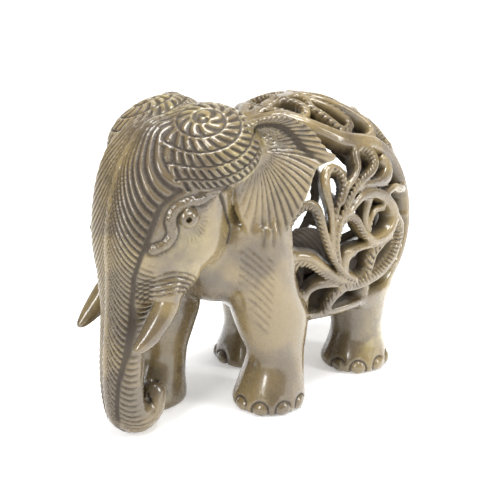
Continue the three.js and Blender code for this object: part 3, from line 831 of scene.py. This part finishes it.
# %% [markdown]
# ### Eye, lip and cheek
#
# The lid and brow are one raised cord with a rope twist, which passes over the eye and runs down in
# front of it. Short rays lie behind the eye, creases above it and fine hairs before it. A fold
# runs down behind the cheek, and the lip above each tusk is ribbed with arcs. All are drawn on the
# side view, as x and z.

# %% Eye, lip and cheek
BROW = [[-32, 77.5], [-35.5, 76.2], [-39.6, 76.4], [-43.4, 75.2], [-45.2, 72], [-44.8, 68.4],
        [-46.4, 65.4], [-49.6, 63.8]]
CHEEK_FOLD = [[-30.5, 80], [-27, 74], [-24.5, 69], [-21.5, 64.5], [-23, 60]]
ROPE_PITCH, RIB_PITCH, CREASE_PITCH, HAIR_PITCH, RAY_DEGREES = 0.95, 1.45, 1.5, 0.9, 10.5
CORD_RISE, TWIST_DEPTH, BESIDE_CORD_DEPTH = 0.9, 0.35, 0.35
RAY_DEPTH, CREASE_DEPTH, HAIR_DEPTH, FOLD_DEPTH, RIB_DEPTH = 0.3, 0.22, 0.16, 0.7, 0.5
TUSK_MOUTH_X, TUSK_MOUTH_Z, LIP_FLATTEN = -44.5, 45.2, 1.1


def face_strokes(x, y, z, normal):
    """How deep, or how proud, the side of the face is carved at points."""
    side_on = fade(np.abs(normal[:, 1]), 0.35, 0.6) * fade(np.abs(y), 9, 11) * fade(x, -20, -23)
    flat = np.stack([x, z], 1)
    off, along = near_path(flat, BROW)
    cord = -CORD_RISE * fade(off, 1.35, 0.85)
    cord += TWIST_DEPTH * valleys((along + 0.5 * off) / ROPE_PITCH, 1.0) * fade(off, 1.1, 0.6)
    cord += BESIDE_CORD_DEPTH * line_cut(off - 1.7, 0.5)
    ex, ez = x - EYE_CENTRE[0], z - EYE_CENTRE[2]
    ring, bearing = np.hypot(ex, ez), np.degrees(np.arctan2(ez, ex))
    behind = band(ring, 3.9, 4.4, 6.6, 8.0) * band(bearing, -115, -95, 30, 50)
    rays = RAY_DEPTH * valleys(bearing / RAY_DEGREES, 0.9) * behind
    above = band(z, 78.5, 79.5, 85, 87) * band(x, -44, -41, -26, -24)
    creases = CREASE_DEPTH * valleys((z + 0.35 * x) / CREASE_PITCH, 1.0) * above
    before = fade(x, -45.6, -46.4) * band(z, 62, 64, 74, 76)
    hairs = HAIR_DEPTH * valleys((x - 0.3 * z) / HAIR_PITCH, 1.0) * before
    fold = FOLD_DEPTH * line_cut(near_path(flat, CHEEK_FOLD)[0], 0.6)
    to_lip = np.hypot(x - TUSK_MOUTH_X, LIP_FLATTEN * (z - TUSK_MOUTH_Z))
    lip = band(to_lip, 5.0, 5.8, 11.3, 12.5) * fade(z, 46, 47.5) * fade(x, -54.5, -52.5)
    ribs = RIB_DEPTH * valleys(to_lip / RIB_PITCH, 0.9) * lip * fade(np.abs(y), 8, 9)
    return side_on * (cord + rays + creases + hairs + fold) + ribs


# %% [markdown]
# ### Ears and legs
#
# The ear's flutes fan out from its root, and short slanting ones cross its rolled rim. The left
# fore leg has a column of slanting dashes, and each nail is a low dome with an arc cut round it.

# %% Ears and legs
FLUTE_DEGREES, FAN_SLANT, FAN_DEPTH = 6.5, 16, 0.55
RIM_PITCH, RIM_SLANT, RIM_PER_DEGREE, RIM_DEPTH = 2.3, 6.4, 0.32, 0.6
RIM_LINE_AT, RIM_LINE_WIDTH, RIM_LINE_DEPTH = 0.7, 18, 0.7
DASH_PITCH, DASH_SLANT, DASH_DEPTH = 2.6, 1.3, 0.3
NAIL_Z, NAIL_REACH, NAIL_RADIUS, NAIL_CUT, NAIL_DOME = 2.2, 11, 2.9, 0.5, 0.35


def ear_strokes(x, y, z):
    """How deep the ears are cut at points, and which points are on an ear."""
    bearing, reach, share = ear_place(x, z)
    outside = np.abs(y) - EAR_ROOT[1] - EAR_FLARE * (x - EAR_ROOT[0])
    on_ear = (share < 1.06) & (outside > -3.4) & (outside < 2.4) & (reach > 2) & (x > -27)
    upper = fade(bearing, EAR_RIM_END, EAR_RIM_END + 8)
    rim = upper * fade(share, 0.68, 0.76)
    across_rim = (bearing * RIM_PER_DEGREE + RIM_SLANT * share) / RIM_PITCH
    rim_flutes = RIM_DEPTH * valleys(across_rim, 0.8) * rim
    fan = FAN_DEPTH * valleys((bearing + FAN_SLANT * share) / FLUTE_DEGREES, 0.8) * (1 - rim)
    fan = fan * fade(reach, 3, 6) * fade(share, 1.02, 0.93)
    fan = fan * (0.55 + 0.45 * fade(bearing, -95, -60))
    rim_line = RIM_LINE_DEPTH * line_cut((share - RIM_LINE_AT) * RIM_LINE_WIDTH, 0.8) * upper
    return np.where(on_ear, rim_flutes + fan + rim_line, 0), on_ear


def nail_strokes(x, y, z):
    """Nails pushed out as domes, with an arc cut round each."""
    nails = np.zeros_like(x)
    for foot_x, side, bearings in FEET:
        for bearing in bearings:
            turn = math.radians(bearing)
            nail_x = foot_x + NAIL_REACH * math.cos(turn)
            nail_y = side * (TRACK - NAIL_REACH * math.sin(turn))
            off = np.sqrt((x - nail_x) ** 2 + (y - nail_y) ** 2 + (z - NAIL_Z) ** 2)
            arc = NAIL_CUT * line_cut(off - NAIL_RADIUS, 0.4) * (z < 8)
            nails = np.where(off < 5, arc - NAIL_DOME * fade(off, 2.6, 1.2), nails)
    return nails


def leg_strokes(x, y, z, normal):
    """How deep the legs are cut at points."""
    outer = fade(np.abs(normal[:, 1]), 0.2, 0.5) * fade(np.abs(y), 15, 17)
    column = band(x, -21, -19.5, -13, -11.5) * band(z, 27, 30, 57, 60) * (y < 0)
    dashes = DASH_DEPTH * valleys((z + DASH_SLANT * x) / DASH_PITCH, 0.9) * column
    return outer * dashes + nail_strokes(x, y, z)


# %% [markdown]
# ## Carving the skin
#
# The strokes are worked out for every point of the skin and pushed in along its normal. A depth
# below zero raises the stone instead, as for the brow's cord, which the carver leaves proud. The same
# depths are kept on the mesh, because the stone's finish paints shade into the cuts and makes them
# rougher and less waxed, and it needs to know where they are.


# %% Carving
HEAD_END_X, CHIN_Z, TRUNK_BACK_X, LEG_TOP_Z = -20, 44, -44, 62
CALF_LOW, CALF_HIGH, CALF_REACH = (4, FLOOR_Z + 4), (44, 52), 9
CALF_RIB_PITCH, CALF_RIB_DEPTH = 2.2, 0.45


def normals_of(points, faces):
    """The skin's normal at each point, from the faces round it."""
    a, b, c = (points[faces[:, k]] for k in range(3))
    facing = np.cross(b - a, c - a)
    summed = np.zeros_like(points)
    for k in range(3):
        for axis in range(3):
            summed[:, axis] += np.bincount(faces[:, k], facing[:, axis], len(points))
    return summed / np.maximum(np.linalg.norm(summed, axis=1, keepdims=True), 1e-9)


def strokes_on(points, normal):
    """How deep each point of the skin is cut. What comes later in the list lies on top."""
    x, y, z = points.T
    u, v, depth = flank_place(x, y, z)
    face = (x < HEAD_END_X) & ~((z < CHIN_Z) & (x > TRUNK_BACK_X))
    in_boss, on_boss = boss_strokes(x, y, z)
    in_ear, on_ear = ear_strokes(x, y, z)
    top = fade(depth, -2.4, -1.4) * (depth < 0.8) * fade(x, CHEST_X - 3, CHEST_X)
    on_vine = top * (read_chart(vine_gap, u, v) < 0.4)
    strokes = np.where(face, feather(x, y, z, normal) + face_strokes(x, y, z, normal), 0)
    on_leg = (z < LEG_TOP_Z) * (depth > -0.5)
    strokes = np.where(face, strokes, leg_strokes(x, y, z, normal) * on_leg)
    strokes = np.where(on_vine > 0, on_vine * read_chart(vine_strokes, u, v), strokes)
    strokes = np.where(on_ear, in_ear, strokes)
    strokes = np.where(on_boss & ~on_ear, in_boss, strokes)
    on_calf = (np.abs(y) < CALF_REACH) & (x > CALF_LOW[0]) & (x < CALF_HIGH[0])
    on_calf = on_calf & (z > CALF_LOW[1]) & (z < CALF_HIGH[1])
    ribs = CALF_RIB_DEPTH * valleys((x + 0.5 * z) / CALF_RIB_PITCH, 0.9)
    return np.where(on_calf, ribs, strokes)


normal = normals_of(points, faces)
strokes = strokes_on(points, normal)
carved = points - normal * strokes[:, None]
print("the deepest stroke is", round(float(strokes.max()), 2), "mm")

# %% [markdown]
# ## The carved piece
#
# The carved skin has far more faces than its shapes need. Blender's Decimate modifier joins faces
# where the stone is smooth and keeps them where it is carved. The result is one mesh that stands
# for the whole packed block and takes its place. Two marks are kept at its points: how deep it is
# cut there, and how far it lies inside the barrel, where no polishing cloth reaches. Both marks
# also paint shade into the stone's colour.

# %% The piece
FACE_BUDGET = 195_000
FULL_CUT = 0.6
UNPOLISHED_SHADE_START, UNPOLISHED_SHADE_END = -1.2, -4.5


def make_piece(name, points, faces, marks):
    """A mesh in the scene, with a number kept at every point for each mark."""
    mesh = bpy.data.meshes.new(name)
    mesh.vertices.add(len(points))
    mesh.vertices.foreach_set("co", points.astype(np.float32).ravel())
    mesh.loops.add(len(faces) * 3)
    mesh.loops.foreach_set("vertex_index", faces.astype(np.int32).ravel())
    mesh.polygons.add(len(faces))
    mesh.polygons.foreach_set("loop_start", np.arange(0, 3 * len(faces), 3, dtype=np.int32))
    mesh.update(calc_edges=True)
    for mark, values in marks.items():
        layer = mesh.attributes.new(mark, "FLOAT", "POINT")
        layer.data.foreach_set("value", values.astype(np.float32))
    piece = bpy.data.objects.new(name, mesh)
    bpy.context.scene.collection.objects.link(piece)
    return piece


def thin_out(piece, budget):
    """Fewer faces, and smooth shading."""
    modifier = piece.modifiers.new("fewer faces", "DECIMATE")
    modifier.ratio = min(1.0, budget / len(piece.data.polygons))
    bpy.context.view_layer.objects.active = piece
    bpy.ops.object.modifier_apply(modifier=modifier.name)
    piece.data.polygons.foreach_set("use_smooth", np.ones(len(piece.data.polygons), bool))
    piece.data.update()


in_model = (carved + [FORWARD, 0, 0]) * MM
in_model[:, 2] = np.maximum(in_model[:, 2], 0)
depth_in_barrel = flank_place(*points.T)[2]
# The inside of the barrel: the finish makes it rough and unwaxed, and paints shade into its colour.
unpolished_and_shade = fade(depth_in_barrel, UNPOLISHED_SHADE_START, UNPOLISHED_SHADE_END)
unpolished_and_shade = unpolished_and_shade * fade(points[:, 0], CHEST_X - 4, CHEST_X) * fade(points[:, 2], 26, FLOOR_Z)
marks = {"cut": np.clip(strokes / FULL_CUT, -1, 1), "unpolished_and_shade": unpolished_and_shade}
elephant = make_piece("elephant_carving", in_model, faces, marks)
thin_out(elephant, FACE_BUDGET)
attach(elephant, "root")
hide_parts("elephant")
print(elephant.name, "has", len(elephant.data.polygons), "faces")

# %% [markdown]
# ## Writing finishes as sums
#
# A finish in Blender is a web of nodes, which is hard to read as code. This small class wraps one
# socket, so that a sum written in Python adds the Math nodes that work it out. Any other node comes
# from one method that takes its type, its settings and its inputs.


# %% Sockets that can be added up
class Shade:
    def __init__(self, tree, socket):
        self.tree, self.socket = tree, socket

    def node(self, kind, settings=None, output=0, **inputs):
        """A node of this kind. An input is named, with _ for a space, or numbered, as i0."""
        made = self.tree.nodes.new(kind)
        for name, value in (settings or {}).items():
            setattr(made, name, value)
        for name, value in inputs.items():
            socket = made.inputs[int(name[1:]) if name[1:].isdigit() else name.replace("_", " ")]
            if isinstance(value, Shade):
                self.tree.links.new(value.socket, socket)
            else:
                socket.default_value = value
        return Shade(self.tree, made.outputs[output])

    def sum(self, operation, a, b=0):
        return self.node("ShaderNodeMath", {"operation": operation}, i0=a, i1=b)

    def __add__(self, other):
        return self.sum("ADD", self, other)

    def __sub__(self, other):
        return self.sum("SUBTRACT", self, other)

    def __rsub__(self, other):
        return self.sum("SUBTRACT", other, self)

    def __mul__(self, other):
        return self.sum("MULTIPLY", self, other)

    __radd__, __rmul__ = __add__, __mul__

    def size(self):
        """The value without its sign."""
        return self.sum("ABSOLUTE", self)

    def held(self, low, high):
        """The value, kept between low and high."""
        return self.sum("MINIMUM", self.sum("MAXIMUM", self, low), high)

    def spread(self, low, high):
        """0 where the value is low, 1 where it is high, eased between."""
        settings = {"interpolation_type": "SMOOTHSTEP"}
        return self.node("ShaderNodeMapRange", settings, Value=self, From_Min=low, From_Max=high)


def new_finish(name):
    """An empty material, and a Shade to build its nodes with."""
    material = bpy.data.materials.new(name)
    material.use_nodes = True
    material.node_tree.nodes.clear()
    return material, Shade(material.node_tree, None)


def finish_with(material, shader):
    """The material, with this shader on its surface."""
    output = material.node_tree.nodes.new("ShaderNodeOutputMaterial")
    material.node_tree.links.new(shader.socket, output.inputs["Surface"])
    return material


print("finishes can be written as sums")

# %% [markdown]
# ## Polished soapstone
#
# The stone is a khaki that drifts to grey-brown and, in places, to a pale yellow-green, with a few
# dark veins, and its colour grows darker and greyer towards the feet. It has been waxed and rubbed,
# so it shines, but the cuts and the inside are left rough and unwaxed, and shade is painted into
# them as a deep brown. Clouds of noise could be painted as a picture, but worked out in space they
# run through the stone and need no unwrapping.
# Each layer is a mask, made from noise or from a mark on the mesh, that mixes in one more colour.

# %% Soapstone
KHAKI = (0.215, 0.158, 0.070, 1)
GREY_BROWN = (0.082, 0.060, 0.035, 1)
PALE_GREEN = (0.40, 0.33, 0.135, 1)
# The deep brown below is painted shade, for the cuts and the hollow inside the barrel.
SHADE_BROWN = (0.030, 0.020, 0.011, 1)
FOOT_Z, BELLY_TOP_Z = 0.012, 0.062
STONE_IOR, WAX, WAX_ROUGHNESS = 1.52, 0.55, 0.08
SCRATCH_STRENGTH, SCRATCH_HEIGHT = 0.12, 0.0004


def soapstone_finish():
    material, shade = new_finish("soapstone")
    place = shade.node("ShaderNodeTexCoord", output="Object")

    def cloud(scale, detail, twist=0.0):
        settings = {"Scale": scale, "Detail": detail, "Distortion": twist}
        return shade.node("ShaderNodeTexNoise", Vector=place, **settings)

    def mixed(share, a, b):
        settings = {"data_type": "RGBA"}
        return shade.node("ShaderNodeMix", settings, output=2, i0=share, i6=a, i7=b)

    height = shade.node("ShaderNodeSeparateXYZ", output="Z", Vector=place)
    # The colour is darker and greyer towards the feet.
    low_down = 1 - height.spread(FOOT_Z, BELLY_TOP_Z)
    mottle = (cloud(34.0, 5.0, 0.8).spread(0.42, 0.62) + low_down * 0.35).held(0.0, 1.0)
    pale = cloud(22.0, 3.0, 0.3).spread(0.52, 0.72) * cloud(260.0, 4.0).spread(0.25, 0.75)
    vein = 1 - (cloud(16.0, 6.0, 1.6) - 0.5).size().spread(0.0, 0.02)
    speckle = cloud(900.0, 3.0).spread(0.35, 0.7)
    # How deep a point is cut, which darkens its colour as painted shade and dulls its wax.
    cut = shade.node("ShaderNodeAttribute", {"attribute_name": "cut"}, output="Fac")
    # How far inside the barrel a point lies, which darkens its colour as painted shade and dulls its wax.
    inside = shade.node("ShaderNodeAttribute", {"attribute_name": "unpolished_and_shade"}, output="Fac")
    colour = mixed(mottle * 0.85, KHAKI, GREY_BROWN)
    colour = mixed(pale * 0.8, colour, PALE_GREEN)
    colour = mixed(vein * 0.35, colour, GREY_BROWN)
    colour = mixed(speckle * 0.14, colour, GREY_BROWN)
    # Painted shade: the hollow inside the barrel is darkened towards the deep brown.
    colour = mixed(inside * 0.88, colour, SHADE_BROWN)
    # Painted shade: the cuts are darkened towards the same deep brown.
    colour = mixed(cut.spread(0.05, 0.8) * 0.92, colour, SHADE_BROWN)
    scratches = cloud(1500.0, 2.0) * 0.5 + cloud(420.0, 3.0)
    bump = shade.node(
        "ShaderNodeBump", Strength=SCRATCH_STRENGTH, Distance=SCRATCH_HEIGHT, Height=scratches
    )
    rough = 0.24 + cut.spread(0.05, 0.8) * 0.4 + speckle * 0.06 + inside * 0.3
    rough = rough.held(0.1, 0.8)
    wax = WAX * (1 - cut.spread(0.05, 0.6)) * (1 - inside)
    shader = shade.node(
        "ShaderNodeBsdfPrincipled", Base_Color=colour, Roughness=rough, Normal=bump, Coat_Weight=wax
    )
    stone = shader.socket.node
    stone.inputs["IOR"].default_value = STONE_IOR
    stone.inputs["Coat Roughness"].default_value = WAX_ROUGHNESS
    return finish_with(material, shader)


elephant.data.materials.append(soapstone_finish())
print("the elephant is", elephant.data.materials[0].name)

# %% [markdown]
# ## The shelf and the light
#
# The carving stands on plain white card that curves up behind it, as small things are shown for
# sale. One wide soft light from above and two at the sides give long, clean highlights on the wax.
# A little light from the room all round keeps the shadows open, and the card glows faintly so that
# it stays white where the lamps fall off.

# %% Card and lights
CARD_HALF, CARD_RISE = 1.6, 1.2
CARD_FLAT, CARD_BEND, CARD_TURN = 0.7, 0.4, 45
CARD_GLOW = 0.36
ROOM_LIGHT = 0.32
WHITE = (1, 1, 1, 1)


def make_card():
    """A card that lies flat, then bends up in a quarter circle behind the carving."""
    profile = [(-CARD_HALF, 0.0), (CARD_FLAT, 0.0)]
    for angle in np.linspace(0, math.pi / 2, 16)[1:]:
        back = CARD_FLAT + CARD_BEND * math.sin(angle)
        profile.append((back, CARD_BEND - CARD_BEND * math.cos(angle)))
    profile.append((CARD_FLAT + CARD_BEND, CARD_RISE))
    corner = math.radians(CARD_TURN)
    corners = []
    for back, up in profile:
        for across in (-CARD_HALF, CARD_HALF):
            x = back * math.cos(corner) - across * math.sin(corner)
            y = back * math.sin(corner) + across * math.cos(corner)
            corners.append((x, y, up))
    squares = [(2 * i, 2 * i + 2, 2 * i + 3, 2 * i + 1) for i in range(len(profile) - 1)]
    mesh = bpy.data.meshes.new("card")
    mesh.from_pydata(corners, [], squares)
    card = bpy.data.objects.new("card", mesh)
    bpy.context.scene.collection.objects.link(card)
    for square in mesh.polygons:
        square.use_smooth = True
    material, shade = new_finish("white card")
    shader = shade.node("ShaderNodeBsdfPrincipled", Base_Color=(0.9, 0.9, 0.9, 1), Roughness=0.9)
    shader.socket.node.inputs["Emission Color"].default_value = WHITE
    shader.socket.node.inputs["Emission Strength"].default_value = CARD_GLOW
    mesh.materials.append(finish_with(material, shader))
    return card


def make_light(name, place, size, power):
    """A soft oblong lamp that looks at the carving's foot."""
    lamp = bpy.data.lights.new(name, "AREA")
    lamp.shape = "RECTANGLE"
    lamp.size = size[0]
    lamp.size_y = size[1]
    lamp.energy = power
    holder = bpy.data.objects.new(name, lamp)
    holder.location = place
    holder.rotation_mode = "QUATERNION"
    holder.rotation_quaternion = (-Vector(place)).to_track_quat("-Z", "Y")
    bpy.context.scene.collection.objects.link(holder)


make_card()
make_light("overhead", (0.05, -0.10, 0.75), (0.40, 0.40), 9.0)
make_light("left window", (-0.75, -0.15, 0.45), (0.16, 0.5), 5.0)
make_light("right window", (0.35, -0.75, 0.40), (0.16, 0.5), 4.5)
world = bpy.data.worlds.new("room")
world.use_nodes = True
room = world.node_tree.nodes["Background"]
room.inputs["Color"].default_value = WHITE
room.inputs["Strength"].default_value = ROOM_LIGHT
bpy.context.scene.world = world
bpy.context.scene.view_settings.view_transform = "Standard"

# %% [markdown]
# ## The camera
#
# The camera stands in front and to the left, a little above, and looks at the middle of the body
# from about a third of a metre, so that the near side looks larger, as it does to the eye.

# %% Camera
AZIMUTH, ELEVATION = -45.0, 20.0
LENS, SENSOR, CLIP_START = 79.2, 36.0, 0.01
CAMERA_DISTANCE = 0.352
LOOK_AT = Vector((FORWARD * MM, -0.00186, 0.048))


def make_camera():
    camera = bpy.data.objects.new("camera", bpy.data.cameras.new("camera"))
    bpy.context.scene.collection.objects.link(camera)
    turn, rise = math.radians(AZIMUTH), math.radians(ELEVATION)
    level = math.cos(rise)
    back = Vector((math.sin(turn) * level, -math.cos(turn) * level, math.sin(rise)))
    camera.location = LOOK_AT + back * CAMERA_DISTANCE
    camera.rotation_mode = "QUATERNION"
    camera.rotation_quaternion = (-back).to_track_quat("-Z", "Y")
    camera.data.lens = LENS
    camera.data.sensor_width = SENSOR
    camera.data.clip_start = CLIP_START
    bpy.context.scene.camera = camera
    return camera


print("the camera is at", [round(v, 3) for v in make_camera().location])
